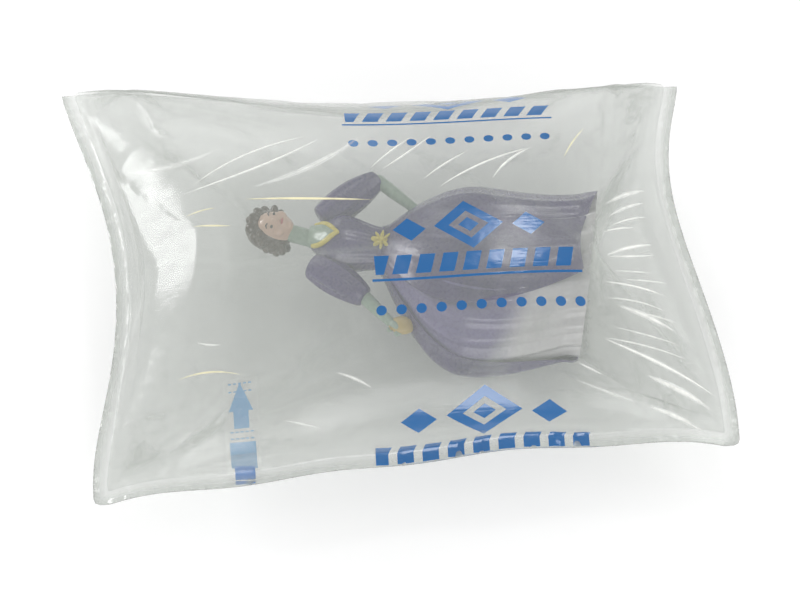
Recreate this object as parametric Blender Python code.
# An inflated packing bag of clear film with a figurine gripped in its inner pouch.
# The bag lies on its lower face. Metres, +Z up, +X to the skirt end of the figurine,
# +Y to the folded back edge, origin on the floor under the middle of the bag.

from math import atan2, cos, exp, pi, radians, sin

import bmesh
import bpy
from mathutils import Matrix, Vector

# Figurine, sizes measured along and across its own axis
SKIRT_LENGTH = 0.130
SKIRT_WIDTH = 0.128
SKIRT_DEPTH = 0.075
HEM_WIDTH = 0.112
HEM_DEPTH = 0.066
FULLEST_AT = 0.070
SKIRT_SWAY = 0.014
SKIRT_FOLDS = 8
FOLD_DEPTH = 0.0026
HEM_FLARE = 0.0022
WAIST_WIDTH = 0.026
WAIST_DEPTH = 0.020
BODICE_LENGTH = 0.047
BUST_WIDTH = 0.038
BUST_DEPTH = 0.028
NECK_WIDTH = 0.011
NECK_LENGTH = 0.009
HEAD_WIDTH = 0.022
HEAD_DEPTH = 0.025
HEAD_HEIGHT = 0.027
HEAD_LEAN = 0.005
HAIR_THICKNESS = 0.0045
SLEEVE_RADIUS = 0.0105
ARM_RADIUS = 0.0042
RIGHT_ELBOW_OUT = 0.048
LEFT_ELBOW_OUT = 0.036
HAND_RADIUS = 0.0050
PURSE_RADIUS = 0.0075
FLOWER_RADIUS = 0.0062
LIE_ANGLE = radians(11)

# Film, and the clearance that pieces in contact keep
FILM = 0.0003
CLEARANCE = 0.0003

# Room that the bag keeps round the figurine
HEAD_ROOM = 0.1055
FOOT_ROOM = 0.0765
BACK_ROOM = 0.0645
FRONT_ROOM = 0.0820
CUSHION_ABOVE = 0.0135
CUSHION_BELOW = 0.0080

# Outline of the bag in plan
TAPER = 0.016
LEFT_SLANT = 0.0125
RIGHT_SLANT = 0.0035
LEFT_BOW = 0.0255
RIGHT_BOW = 0.0175
FRONT_BOW = 0.006
BACK_BOW = 0.022
BOW_SHIFT = 0.35
BOW_SHARPNESS = 1.3
FLANGE = 0.009

# Roundness of the inflated form across and along the bag: a higher crown is flatter on
# top, and a higher shoulder leaves the seam at a gentler slope
SIDE_CROWN = 2.8
SIDE_SHOULDER = 0.62
END_CROWN = 3.5
LEFT_SHOULDER = 0.66
RIGHT_SHOULDER = 0.31
EAR_PINCH = 0.7
FOOTPRINT_SPARE = 0.006
FOOTPRINT_BLEND = 0.004

# Puckers along the seams and waves of the flange
PUCKER = 0.0026
PUCKER_REACH = 0.014
SIDE_PUCKERS = 11
END_PUCKERS = 6
FRONT_WAVE = 0.0030
FRONT_WAVES = 3.5
LEFT_WAVE = 0.0025
LEFT_WAVES = 1.6
LEFT_WAVE_SHIFT = 0.8
WAVE_REACH = 0.030
EAR_DROOP = 0.010
EAR_SHARPNESS = 8

# Valve strip across the front seam, and the mouth of the pouch at the left end
VALVE_WIDTH = 0.020
VALVE_LENGTH = 0.066
VALVE_FROM_LEFT = 0.0805
MOUTH_WIDTH = 0.180
SLOT_RAMP = 0.010

# Share of the bag's depth that the pouch spans, along the bag and at its right end,
# and the share of its length
POUCH_SPAN = 0.92
POUCH_END_SPAN = 0.80
POUCH_LENGTH_SHARE = 0.985

# How far past the figurine the pouch's tent reaches, as a share of the room there, and
# how much wider than the figurine it spreads
TENT_REACH = 0.75
TENT_WIDTH = 1.36

# Fineness of the meshes
COLUMNS = 40
ROWS = 18
POUCH_COLUMNS = 30
POUCH_ROWS = 15
RING = 32

# Sizes that follow from the ones above
FIGURE_HEIGHT = SKIRT_LENGTH + BODICE_LENGTH + NECK_LENGTH + HEAD_HEIGHT + HAIR_THICKNESS
LENGTH = HEAD_ROOM + FIGURE_HEIGHT + FOOT_ROOM
DEPTH = SKIRT_WIDTH + BACK_ROOM + FRONT_ROOM
SKIRT_REACH = max(SKIRT_DEPTH / 2, HEM_DEPTH / 2 + HEM_FLARE) + FOLD_DEPTH
RISE = SKIRT_REACH + CUSHION_ABOVE
REST = SKIRT_REACH + CUSHION_BELOW
DROP = REST + FOOTPRINT_SPARE
SLOT_HALF = FILM + 1.5 * CLEARANCE


def material(name, colour, roughness, alpha=1.0):
    """Plain surface for one piece."""
    made = bpy.data.materials.new(name)
    made.use_nodes = True
    shader = made.node_tree.nodes["Principled BSDF"]
    shader.inputs["Base Color"].default_value = (*colour, 1.0)
    shader.inputs["Roughness"].default_value = roughness
    shader.inputs["Alpha"].default_value = alpha
    return made


def place(name, mesh, surface, parent=None):
    """Put a mesh into the scene under a name, shaded smooth."""
    piece = bpy.data.objects.new(name, mesh)
    bpy.context.scene.collection.objects.link(piece)
    piece.parent = parent
    mesh.materials.append(surface)
    mesh.shade_smooth()
    return piece


def mix(low, high, share):
    return low + (high - low) * share


def ease(share):
    """Smooth step from 0 to 1."""
    share = min(max(share, 0.0), 1.0)
    return share * share * (3 - 2 * share)


def swell(place_across, crown, shoulder):
    """Height of the inflated form, 0 at its two edges and 1 in the middle."""
    return max(0.0, 1 - abs(place_across) ** crown) ** shoulder


def bow(place_along):
    """How far an edge is drawn in, 0 at its corners and 1 in the middle."""
    return cos(pi * min(abs(place_along), 1.0) / 2) ** BOW_SHARPNESS


# Plan of the bag: s runs from the left weld (-1) to the right weld (1),
# r from the front weld (-1) to the back fold (1)

def plan(s, r):
    depth = DEPTH - TAPER * s
    left = -LENGTH / 2 + FLANGE - LEFT_SLANT * r + LEFT_BOW * bow(r)
    right = LENGTH / 2 - FLANGE - RIGHT_SLANT * r - RIGHT_BOW * bow(r - BOW_SHIFT * (1 - r * r))
    front = -depth / 2 + FLANGE + FRONT_BOW * bow(s - BOW_SHIFT * (1 - s * s))
    back = depth / 2 - BACK_BOW * bow(s)
    return mix(left, right, (s + 1) / 2), mix(front, back, (r + 1) / 2)


def middle(s, r):
    """Height of the seam plane, which waves at its edges and droops at the corners."""
    x, y = plan(s, r)
    from_front = y - plan(s, -1)[1]
    from_left = x - plan(-1, r)[0]
    waves = FRONT_WAVE * sin(2 * pi * FRONT_WAVES * (s + 1) / 2) * exp(-from_front / WAVE_REACH)
    left_wave = sin(pi * LEFT_WAVES * r + LEFT_WAVE_SHIFT) * (1 - r ** 4)
    waves += LEFT_WAVE * left_wave * exp(-from_left / WAVE_REACH)
    return waves - EAR_DROOP * abs(s * r) ** EAR_SHARPNESS


def puckers(s, r):
    """Scallops that spring from the seams and fade inwards."""
    def band(distance):
        return distance / PUCKER_REACH * exp(1 - distance / PUCKER_REACH)

    def ripple(place_along, count):
        return abs(sin(pi * count * (place_along + 1) / 2)) - 2 / pi

    x, y = plan(s, r)
    from_side = min(y - plan(s, -1)[1], plan(s, 1)[1] - y)
    from_end = min(x - plan(-1, r)[0], plan(1, r)[0] - x)
    sides = ripple(s, SIDE_PUCKERS) * band(from_side) * (1 - s ** 8)
    ends = ripple(r, END_PUCKERS) * band(from_end) * (1 - r ** 8)
    return PUCKER * (sides + ends)


def slot_opening(s, r):
    """Share of the full height to which a slot in the welds is open."""
    return max(front_slot_share(s) if r <= -1 else 0.0, mouth_share(r) if s <= -1 else 0.0)


def along_front(distance_from_left):
    """Place s of a point on the front weld."""
    return 2 * distance_from_left / (plan(1, -1)[0] - plan(-1, -1)[0]) - 1


def across_left(distance_from_middle):
    """Place r of a point on the left weld."""
    front, back = plan(-1, -1)[1], plan(-1, 1)[1]
    return (2 * distance_from_middle - front - back) / (back - front)


def valve_sides(spare):
    """Places s of the valve's two edges with some spare width."""
    return [along_front(VALVE_FROM_LEFT + side * (VALVE_WIDTH / 2 + spare)) for side in (-1, 1)]


def mouth_sides(spare):
    """Places r of the pouch mouth's two edges with some spare width."""
    return [across_left(side * (MOUTH_WIDTH / 2 + spare)) for side in (-1, 1)]


VALVE_SLOT = valve_sides(CLEARANCE)
VALVE_RAMP = valve_sides(SLOT_RAMP)
MOUTH_EDGES = mouth_sides(0.0)
MOUTH_SLOT = mouth_sides(CLEARANCE)
MOUTH_RAMP = mouth_sides(SLOT_RAMP)


def share_open(value, full, ramp):
    """1 inside the full stretch of a slot, falling to 0 at the ends of its ramp."""
    if full[0] - 1e-9 <= value <= full[1] + 1e-9:
        return 1.0
    if value < full[0]:
        return max(0.0, (value - ramp[0]) / (full[0] - ramp[0]))
    return max(0.0, (ramp[1] - value) / (ramp[1] - full[1]))


def front_slot_share(s):
    return share_open(s, VALVE_SLOT, VALVE_RAMP)


def mouth_share(r):
    return share_open(r, MOUTH_SLOT, MOUTH_RAMP)


def footprint(depth_below):
    """Depth of the lower film, pressed flat where it rests on the floor."""
    if depth_below >= REST + FOOTPRINT_BLEND:
        return REST
    if depth_below <= REST - FOOTPRINT_BLEND:
        return depth_below
    return REST - (REST + FOOTPRINT_BLEND - depth_below) ** 2 / (4 * FOOTPRINT_BLEND)


def spread(count):
    """Grid places from -1 to 1 that lie closer together at the ends."""
    shares = [2 * i / count - 1 for i in range(count + 1)]
    return [0.5 * t + 0.5 * sin(pi * t / 2) for t in shares]


def snapped(values, targets):
    """The grid places with the nearest one moved onto each target."""
    moved = list(values)
    free = set(range(1, len(values) - 1))
    for target in targets:
        nearest = min(free, key=lambda i: abs(values[i] - target))
        moved[nearest] = target
        free.discard(nearest)
    return sorted(moved)


class Film:
    """Vertices of one skin of the outer film, upper and lower ply, on one grid."""

    def __init__(self):
        self.s = snapped(spread(COLUMNS), [VALVE_RAMP[0], VALVE_SLOT[0], VALVE_SLOT[1], VALVE_RAMP[1]])
        self.r = snapped(spread(ROWS), [MOUTH_RAMP[0], MOUTH_SLOT[0], MOUTH_SLOT[1], MOUTH_RAMP[1]])
        self.last_column = COLUMNS + 2
        self.last_row = ROWS + 1
        columns, rows = range(self.last_column + 1), range(self.last_row + 1)
        self.upper = [[self.outside(i, j, 1) for j in rows] for i in columns]
        self.lower = [[self.outside(i, j, -1) for j in rows] for i in columns]

    def place(self, i, j):
        """Grid place and the shift out into the flange of a vertex."""
        s = self.s[min(max(i - 1, 0), COLUMNS)]
        r = self.r[max(j - 1, 0)]
        out = (-FLANGE if i == 0 else FLANGE if i == self.last_column else 0.0, -FLANGE if j == 0 else 0.0)
        return s, r, out

    def weld(self, i, j):
        """The grid vertex on the weld line beside a vertex of the rim."""
        return min(max(i, 1), self.last_column - 1), max(j, 1)

    def outside(self, i, j, side):
        """Outer face of the film: side 1 is the upper ply, -1 the lower."""
        s, r, out = self.place(i, j)
        x, y = plan(s, r)
        end_shoulder = mix(LEFT_SHOULDER, RIGHT_SHOULDER, ease((s + 1) / 2))
        height = swell(s, END_CROWN, end_shoulder) * swell(r, SIDE_CROWN, SIDE_SHOULDER)
        height *= 1 - EAR_PINCH * (s * r) ** 2
        bulge = (RISE if side > 0 else DROP) * height + puckers(s, r) * min(1.0, 3 * height)
        wall = 0.0 if j == self.last_row else FILM + SLOT_HALF * slot_opening(s, r)
        z = middle(s, r) + side * (wall + bulge)
        if side < 0:
            z = -footprint(-z)
        return Vector((x + out[0], y + out[1], z))

    def inward(self, i, j, side):
        """Direction into the bag at a vertex, as long as a mitred offset of 1 needs."""
        grid = self.upper if side > 0 else self.lower
        normals = []
        for di, dj in ((1, 1), (-1, 1), (-1, -1), (1, -1)):
            if not 0 <= i + di <= self.last_column:
                continue
            if j + dj > self.last_row:
                across = (self.lower if side > 0 else self.upper)[i][j - 1]
            elif j + dj < 0:
                continue
            else:
                across = grid[i][j + dj]
            normal = (grid[i + di][j] - grid[i][j]).cross(across - grid[i][j]) * di * dj
            if normal.length > 1e-12:
                normals.append(normal.normalized() * -side)
        mean = sum(normals, Vector()).normalized()
        share = sum(mean.dot(normal) for normal in normals) / len(normals)
        return mean / max(share, 0.5)

    def layer(self, i, j, offset):
        """Point at a depth below the outer face of the upper ply."""
        return self.upper[i][j] + self.inward(i, j, 1) * offset


def mesh_from(name, vertices, faces):
    """A mesh whose doubles are merged and whose faces point out."""
    mesh = bpy.data.meshes.new(name)
    mesh.from_pydata([tuple(v) for v in vertices], [], faces)
    shape = bmesh.new()
    shape.from_mesh(mesh)
    bmesh.ops.remove_doubles(shape, verts=shape.verts, dist=1e-6)
    bmesh.ops.recalc_face_normals(shape, faces=shape.faces)
    shape.to_mesh(mesh)
    shape.free()
    return mesh


def outer_film(film, surface, parent):
    """Film folded at the back and welded along its other edges, with a slot for the
    valve in the front weld and one for the pouch's mouth in the left weld."""
    vertices, faces, index = [], [], {}

    def vertex(key, point):
        if key not in index:
            index[key] = len(vertices)
            vertices.append(point)
        return index[key]

    def outer(side, i, j):
        if j == film.last_row:
            side = 1
        return vertex(("outer", side, i, j), (film.upper if side > 0 else film.lower)[i][j])

    def inner(side, i, j):
        s, r, _ = film.place(i, j)
        opening = slot_opening(s, r)
        on_weld = i in (1, film.last_column - 1) or j == 1
        x, y = plan(s, r)
        if on_weld and opening == 0:
            return vertex(("inner", 1, i, j), Vector((x, y, middle(s, r))))
        if on_weld:
            return vertex(("inner", side, i, j), Vector((x, y, middle(s, r) + side * SLOT_HALF * opening)))
        if j == film.last_row:
            side = 1
        point = (film.upper if side > 0 else film.lower)[i][j] + film.inward(i, j, side) * FILM
        return vertex(("inner", side, i, j), point)

    def slot(side, i, j):
        s, r, out = film.place(i, j)
        x, y = plan(s, r)
        opening = slot_opening(s, r)
        key = side if opening > 0 else 0
        point = Vector((x + out[0], y + out[1], middle(s, r) + key * SLOT_HALF * opening))
        return vertex(("slot", key, i, j), point)

    for side in (1, -1):
        for i in range(film.last_column):
            for j in range(film.last_row):
                corners = [(i, j), (i + 1, j), (i + 1, j + 1), (i, j + 1)]
                faces.append([outer(side, *corner) for corner in corners])
                if 1 <= i < film.last_column - 1 and j >= 1:
                    faces.append([inner(side, *corner) for corner in corners])

    rim = [(0, j) for j in range(film.last_row, 0, -1)]
    rim += [(i, 0) for i in range(film.last_column)]
    rim += [(film.last_column, j) for j in range(film.last_row + 1)]

    def opening_at(node):
        s, r, _ = film.place(*node)
        on_front_run = node[1] == 0 and 1 <= node[0] <= film.last_column - 1
        on_left_run = node[0] == 0 and node[1] >= 1
        if on_front_run:
            return front_slot_share(s)
        return mouth_share(r) if on_left_run else 0.0

    for start, end in zip(rim, rim[1:]):
        shares = opening_at(start), opening_at(end)
        if max(shares) > 0:
            for side in (1, -1):
                faces.append([outer(side, *start), outer(side, *end), slot(side, *end), slot(side, *start)])
                near, far = film.weld(*start), film.weld(*end)
                faces.append([slot(side, *start), slot(side, *end), inner(side, *far), inner(side, *near)])
            continue
        ring = [outer(1, *start), outer(1, *end)]
        if neighbour_opens(rim, end, opening_at):
            ring.append(slot(1, *end))
        ring += [outer(-1, *end), outer(-1, *start)]
        if neighbour_opens(rim, start, opening_at):
            ring.append(slot(1, *start))
        faces.append(list(dict.fromkeys(ring)))
    faces = [list(dict.fromkeys(face)) for face in faces]
    mesh = mesh_from("outer_film", vertices, [face for face in faces if len(face) > 2])
    return place("outer_film", mesh, surface, parent)


def neighbour_opens(rim, node, opening_at):
    """Whether a slot starts at this vertex of the rim."""
    at = rim.index(node)
    around = rim[max(at - 1, 0)], rim[min(at + 1, len(rim) - 1)]
    return opening_at(node) == 0 and any(opening_at(other) > 0 for other in around)


def valve_strip(name, film, outset, surface, parent):
    """One strip of the valve, laid under the upper ply at a depth of outset."""
    first = film.s.index(VALVE_SLOT[0]) + 1
    last = film.s.index(VALVE_SLOT[1]) + 1
    trim = CLEARANCE / (VALVE_WIDTH + 2 * CLEARANCE)
    rows, reach = [0], 0.0
    while reach < VALVE_LENGTH and rows[-1] < film.last_row:
        reach += (film.upper[first][rows[-1] + 1] - film.upper[first][rows[-1]]).length
        rows.append(rows[-1] + 1)
    spare = (reach - VALVE_LENGTH) / (film.upper[first][rows[-1]] - film.upper[first][rows[-2]]).length

    def point(j, across, depth):
        """A point on the grid line j, between the slot's two sides."""
        place_across = first + across * (last - first)
        low = min(int(place_across), last - 1)
        return film.layer(low, j, depth).lerp(film.layer(low + 1, j, depth), place_across - low)

    def end_point(order, across, depth):
        whole = point(rows[order], across, depth)
        if order < len(rows) - 1:
            return whole
        return whole.lerp(point(rows[order - 1], across, depth), spare)

    steps = [trim + (1 - 2 * trim) * k / (last - first) for k in range(last - first + 1)]
    vertices, faces = [], []
    for depth in (outset, outset + FILM):
        for order in range(len(rows)):
            vertices += [end_point(order, across, depth) for across in steps]
    wide, long = len(steps), len(rows)

    def at(depth, order, across):
        return (depth * long + order) * wide + across

    for depth in (0, 1):
        for order in range(long - 1):
            for across in range(wide - 1):
                faces.append([at(depth, order, across), at(depth, order, across + 1),
                              at(depth, order + 1, across + 1), at(depth, order + 1, across)])
    edge = [(0, k) for k in range(wide)] + [(n, wide - 1) for n in range(1, long)]
    edge += [(long - 1, k) for k in range(wide - 2, -1, -1)] + [(n, 0) for n in range(long - 2, -1, -1)]
    for (n, k), (m, l) in zip(edge, edge[1:]):
        faces.append([at(0, n, k), at(0, m, l), at(1, m, l), at(1, n, k)])
    return place(name, mesh_from(name, vertices, faces), surface, parent)


# Figurine: x is her left and y her front, z runs from the hem to the crown

WAIST_AT = SKIRT_LENGTH
SHOULDER_AT = WAIST_AT + 0.80 * BODICE_LENGTH
CHIN_AT = WAIST_AT + BODICE_LENGTH + NECK_LENGTH
HEAD_AT = CHIN_AT + HEAD_HEIGHT / 2


def figure_section(height):
    """Half width, half depth, sideways sway and depth of the folds at a height."""
    if height <= WAIST_AT:
        flare = HEM_FLARE * ease(1 - height / (5 * HEM_FLARE))
        if height >= FULLEST_AT:
            bell = sin(pi / 2 * (WAIST_AT - height) / (WAIST_AT - FULLEST_AT)) ** 0.9
            width, depth = mix(WAIST_WIDTH, SKIRT_WIDTH, bell), mix(WAIST_DEPTH, SKIRT_DEPTH, bell)
        else:
            bell = 1.0
            closing = ease(height / FULLEST_AT)
            width, depth = mix(HEM_WIDTH, SKIRT_WIDTH, closing), mix(HEM_DEPTH, SKIRT_DEPTH, closing)
        sway = SKIRT_SWAY * sin(pi * height / WAIST_AT)
        return width / 2 + flare, depth / 2 + flare, sway, FOLD_DEPTH * bell
    up = (height - WAIST_AT) / BODICE_LENGTH
    if up <= 0.6:
        share = ease(up / 0.6)
        return mix(WAIST_WIDTH, BUST_WIDTH, share) / 2, mix(WAIST_DEPTH, BUST_DEPTH, share) / 2, 0.0, 0.0
    share = ease((up - 0.6) / 0.4)
    lean = -HEAD_LEAN * ease(up - 0.6)
    return mix(BUST_WIDTH, NECK_WIDTH, share) / 2, mix(BUST_DEPTH, NECK_WIDTH, share) / 2, lean, 0.0


def skirt_opening(angle, height):
    """How far the overskirt is drawn back from the underskirt, from 0 to 1."""
    below = max(0.0, 1 - height / WAIST_AT)
    half_angle = mix(radians(10), radians(34), below)
    away = abs(atan2(sin(angle - radians(42)), cos(angle - radians(42))))
    return ease((half_angle - away) / radians(12) + 0.5) * min(1.0, 4 * below)


def figure_body():
    """Skirt, bodice and neck, lofted through rings."""
    skirt_shares = (0, 0.03, 0.08, 0.16, 0.26, 0.38, 0.50, 0.62, 0.74, 0.85, 0.94, 1.0)
    heights = [WAIST_AT * share for share in skirt_shares]
    heights += [WAIST_AT + BODICE_LENGTH * share for share in (0.2, 0.4, 0.6, 0.72, 0.82, 0.92, 1.0)]
    heights.append(CHIN_AT + HEAD_HEIGHT * 0.2)
    shape = bmesh.new()
    rings = []
    for height in heights:
        half_width, half_depth, sway, fold = figure_section(height)
        ring = []
        for k in range(RING):
            angle = 2 * pi * k / RING
            outset = fold * cos(SKIRT_FOLDS * angle) - FOLD_DEPTH * skirt_opening(angle, height)
            ring.append(shape.verts.new((sway + (half_width + outset) * cos(angle),
                                         (half_depth + outset) * sin(angle), height)))
        rings.append(ring)
    shape.faces.new(rings[0][::-1])
    shape.faces.new(rings[-1])
    for low, high in zip(rings, rings[1:]):
        for k in range(RING):
            after = (k + 1) % RING
            shape.faces.new([low[k], low[after], high[after], high[k]])
    mesh = bpy.data.meshes.new("figurine")
    shape.to_mesh(mesh)
    shape.free()
    return mesh


def joints_of_arms():
    """Shoulder, elbow and hand of each arm: the right hand is on the hip, the left out."""
    shoulder = BUST_WIDTH / 2
    return {
        "right": (Vector((-shoulder, 0, SHOULDER_AT)), Vector((-RIGHT_ELBOW_OUT, 0.002, WAIST_AT + 0.010)),
                  Vector((-WAIST_WIDTH / 2 - 0.012, 0.006, WAIST_AT - 0.022))),
        "left": (Vector((shoulder, 0, SHOULDER_AT)), Vector((LEFT_ELBOW_OUT, 0.002, WAIST_AT + 0.006)),
                 Vector((LEFT_ELBOW_OUT + 0.018, 0.006, WAIST_AT - 0.014))),
    }


def ball(name, centre, radii, turn=None, segments=14):
    """An ellipsoid, turned so that its own z lies along turn."""
    shape = bmesh.new()
    bmesh.ops.create_uvsphere(shape, u_segments=segments, v_segments=segments // 2 + 1, radius=1.0)
    matrix = Matrix.Diagonal((*radii, 1.0))
    if turn is not None:
        matrix = turn.to_track_quat("Z", "Y").to_matrix().to_4x4() @ matrix
    bmesh.ops.transform(shape, matrix=Matrix.Translation(centre) @ matrix, verts=shape.verts)
    return finish_guide(name, shape)


def limb(name, start, end, radius_start, radius_end):
    """A tapered arm between two points."""
    shape = bmesh.new()
    run = end - start
    bmesh.ops.create_cone(shape, cap_ends=True, segments=10, radius1=radius_start, radius2=radius_end,
                          depth=run.length)
    turn = run.to_track_quat("Z", "Y").to_matrix().to_4x4()
    bmesh.ops.transform(shape, matrix=Matrix.Translation((start + end) / 2) @ turn, verts=shape.verts)
    return finish_guide(name, shape)


def finish_guide(name, shape):
    """A shape that is only united with the figurine."""
    mesh = bpy.data.meshes.new(name)
    shape.to_mesh(mesh)
    shape.free()
    guide = bpy.data.objects.new(name, mesh)
    bpy.context.scene.collection.objects.link(guide)
    guide.hide_render = True
    guide.display_type = "WIRE"
    return guide


def figurine(surface, parent):
    """Lady in a full skirt, cast in one, lying on her back with her head to -X."""
    body = place("figurine", figure_body(), surface, parent)
    hair = HAIR_THICKNESS
    guides = [
        ball("head", Vector((-HEAD_LEAN, 0.001, HEAD_AT)),
             (HEAD_WIDTH / 2, HEAD_DEPTH / 2, HEAD_HEIGHT / 2), segments=16),
        ball("hair", Vector((-HEAD_LEAN, -hair, HEAD_AT)),
             (HEAD_WIDTH / 2 + hair, HEAD_DEPTH / 2, HEAD_HEIGHT / 2 + hair), segments=16),
        ball("flower", Vector((0, WAIST_DEPTH / 2, WAIST_AT)),
             (FLOWER_RADIUS, FLOWER_RADIUS / 2, FLOWER_RADIUS)),
    ]
    for side, (shoulder, elbow, hand) in joints_of_arms().items():
        run = elbow - shoulder
        guides.append(ball(f"sleeve_{side}", shoulder.lerp(elbow, 0.45),
                           (SLEEVE_RADIUS, SLEEVE_RADIUS, run.length * 0.62), run))
        guides.append(limb(f"forearm_{side}", elbow.lerp(shoulder, 0.15), hand, ARM_RADIUS, ARM_RADIUS * 0.8))
        guides.append(ball(f"hand_{side}", hand, (HAND_RADIUS,) * 3, segments=10))
    purse = joints_of_arms()["left"][2] - Vector((0, 0, HAND_RADIUS))
    guides.append(ball("purse", purse, (PURSE_RADIUS * 0.8, PURSE_RADIUS * 0.6, PURSE_RADIUS), segments=12))
    lie = figure_matrix()
    body.matrix_local = lie
    for guide in guides:
        guide.parent = parent
        guide.matrix_local = lie
        union = body.modifiers.new(guide.name, "BOOLEAN")
        union.operation = "UNION"
        union.object = guide
    return body


def figure_matrix():
    """Turns the standing figurine onto her back and places her in the bag."""
    up = Vector((-cos(LIE_ANGLE), sin(LIE_ANGLE), 0))
    front = Vector((0, 0, 1))
    side = front.cross(up)
    matrix = Matrix((side, front, up)).transposed().to_4x4()
    centre = Vector((LENGTH / 2 - FOOT_ROOM - FIGURE_HEIGHT / 2, (FRONT_ROOM - BACK_ROOM) / 2, 0))
    return Matrix.Translation(centre - up * FIGURE_HEIGHT / 2) @ matrix


def figure_reach(height):
    """Half width and half depth of all that the figurine has at a height."""
    if height < 0 or height > FIGURE_HEIGHT:
        return 0.0, 0.0
    half_width, half_depth, sway, fold = figure_section(min(height, CHIN_AT))
    reaches = [(half_width + abs(sway) + fold, half_depth + fold)]
    for shoulder, elbow, hand in joints_of_arms().values():
        low, high = hand.z - 2 * PURSE_RADIUS, shoulder.z + SLEEVE_RADIUS
        if low <= height <= high:
            wide = max(abs(elbow.x), abs(hand.x)) + max(PURSE_RADIUS, HAND_RADIUS, SLEEVE_RADIUS)
            reaches.append((wide, SLEEVE_RADIUS + abs(elbow.y) + abs(hand.y)))
    if height >= CHIN_AT:
        reaches.append((HEAD_WIDTH / 2 + HAIR_THICKNESS + HEAD_LEAN, HEAD_DEPTH / 2 + HAIR_THICKNESS))
    return max(w for w, _ in reaches), max(d for _, d in reaches)


def smoothed_reach(height):
    """The reach widened and then averaged along the figurine, as taut film bridges it."""
    step, count = 0.007, 2
    samples = [figure_reach(height + k * step) for k in range(-2 * count, 2 * count + 1)]
    windows = [samples[j:j + 2 * count + 1] for j in range(2 * count + 1)]
    tops = [tuple(max(sample[axis] for sample in window) for axis in (0, 1)) for window in windows]
    return tuple(sum(top[axis] for top in tops) / len(tops) for axis in (0, 1))


def pouch_bulge(x, y, lie_inverse):
    """How far the pouch stands off its seam plane over the figurine."""
    spot = lie_inverse @ Vector((x, y, 0))
    inside = min(max(spot.z, 0.0), FIGURE_HEIGHT)
    brim = LENGTH / POUCH_COLUMNS
    beyond = max(0.0, abs(spot.z - inside) - brim)
    room = (FOOT_ROOM if spot.z < 0 else HEAD_ROOM) * TENT_REACH
    half_width, half_depth = smoothed_reach(inside)
    tent = 1 - ease(beyond / room)
    across = abs(spot.x) / (TENT_WIDTH * max(half_width, HEAD_WIDTH / 2))
    return (half_depth + 3 * CLEARANCE) * tent / (1 + across ** 4)


def inner_film(surface, parent):
    """Pouch of two plies that grips the figurine, with its mouth in the left weld."""
    lie_inverse = figure_matrix().inverted()
    ply = (FILM + CLEARANCE) / 2
    inner_places = [t for t in spread(POUCH_COLUMNS) if abs(t) < POUCH_LENGTH_SHARE]
    end_places = [-1.0] + inner_places + [POUCH_LENGTH_SHARE]
    vertices, faces = [], []
    columns = len(end_places) + 1
    for side in (1, -1):
        for i in range(columns):
            s = end_places[max(i - 1, 0)]
            widen = ease((s + 0.99) / 0.12)
            narrow = ease((s - 0.86) / 0.12)
            low = mix(mix(MOUTH_EDGES[0], -POUCH_SPAN, widen), -POUCH_END_SPAN, narrow)
            high = mix(mix(MOUTH_EDGES[1], POUCH_SPAN, widen), POUCH_END_SPAN, narrow)
            for j in range(POUCH_ROWS + 1):
                r = mix(low, high, j / POUCH_ROWS)
                x, y = plan(s, r)
                fade = (1 - abs(s) ** 10) * (1 - abs(r) ** 8)
                bulge = pouch_bulge(x, y, lie_inverse) * fade
                x -= FLANGE if i == 0 else 0.0
                vertices.append(Vector((x, y, middle(s, r) + side * (ply + bulge))))
    wide = POUCH_ROWS + 1

    def at(side, i, j):
        return (0 if side > 0 else columns * wide) + i * wide + j

    for side in (1, -1):
        for i in range(columns - 1):
            for j in range(POUCH_ROWS):
                faces.append([at(side, i, j), at(side, i + 1, j), at(side, i + 1, j + 1), at(side, i, j + 1)])
    seam = [(i, 0) for i in range(columns)] + [(columns - 1, j) for j in range(1, wide)]
    seam += [(i, wide - 1) for i in range(columns - 2, -1, -1)]
    for start, end in zip(seam, seam[1:]):
        faces.append([at(1, *start), at(1, *end), at(-1, *end), at(-1, *start)])
    pouch = place("inner_film", mesh_from("inner_film", vertices, faces), surface, parent)
    wall = pouch.modifiers.new("film", "SOLIDIFY")
    wall.thickness = FILM
    wall.offset = 0.0
    wall.use_even_offset = True
    return pouch


def main():
    for old in list(bpy.data.objects):
        bpy.data.objects.remove(old, do_unlink=True)
    bag = bpy.data.objects.new("bag", None)
    bpy.context.scene.collection.objects.link(bag)
    clear = material("clear_film", (0.82, 0.84, 0.81), 0.12, 0.25)
    pouch_clear = material("pouch_film", (0.80, 0.82, 0.80), 0.15, 0.20)
    valve_blue = material("valve_film", (0.10, 0.45, 0.80), 0.25, 0.8)
    glazed = material("figurine_glaze", (0.22, 0.16, 0.32), 0.25)
    film = Film()
    shell = outer_film(film, clear, bag)
    inner_film(pouch_clear, bag)
    valve_strip("valve_film_upper", film, FILM + CLEARANCE, valve_blue, bag)
    valve_strip("valve_film_lower", film, 2 * (FILM + CLEARANCE), valve_blue, bag)
    figurine(glazed, bag)
    corners = [shell.matrix_world @ vertex.co for vertex in shell.data.vertices]
    low = Vector(min(corner[axis] for corner in corners) for axis in range(3))
    high = Vector(max(corner[axis] for corner in corners) for axis in range(3))
    bag.location = (-(low.x + high.x) / 2, -(low.y + high.y) / 2, -low.z)


main()
